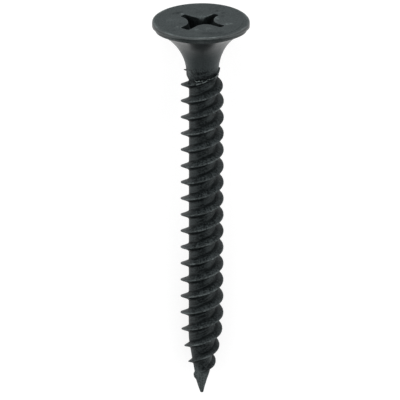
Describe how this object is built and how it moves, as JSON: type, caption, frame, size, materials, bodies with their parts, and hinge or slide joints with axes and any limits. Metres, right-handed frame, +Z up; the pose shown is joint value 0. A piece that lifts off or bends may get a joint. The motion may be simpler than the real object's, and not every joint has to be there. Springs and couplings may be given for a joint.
{
  "type": "drywall screw",
  "caption": "Fine-thread drywall screw with a bugle head, a cross recess and a sharp point, in a black phosphate finish.",
  "frame": {"origin": "centre of the bounding box, at the height of the surface that the screw lies on", "axes": "+X along the screw from its point towards its head, +Z up; the screw's own axis climbs 5 degrees towards the head, because it lies on the rim of its head and one crest of its thread"},
  "size_m": [0.0322, 0.0078, 0.0078],
  "materials": {
    "phosphate": "matt black phosphate on hardened steel, dry to the touch, slightly greyer on crests and rim"
  },
  "bodies": {
    "root": {"screw": "phosphate"}
  },
  "joints": []
}
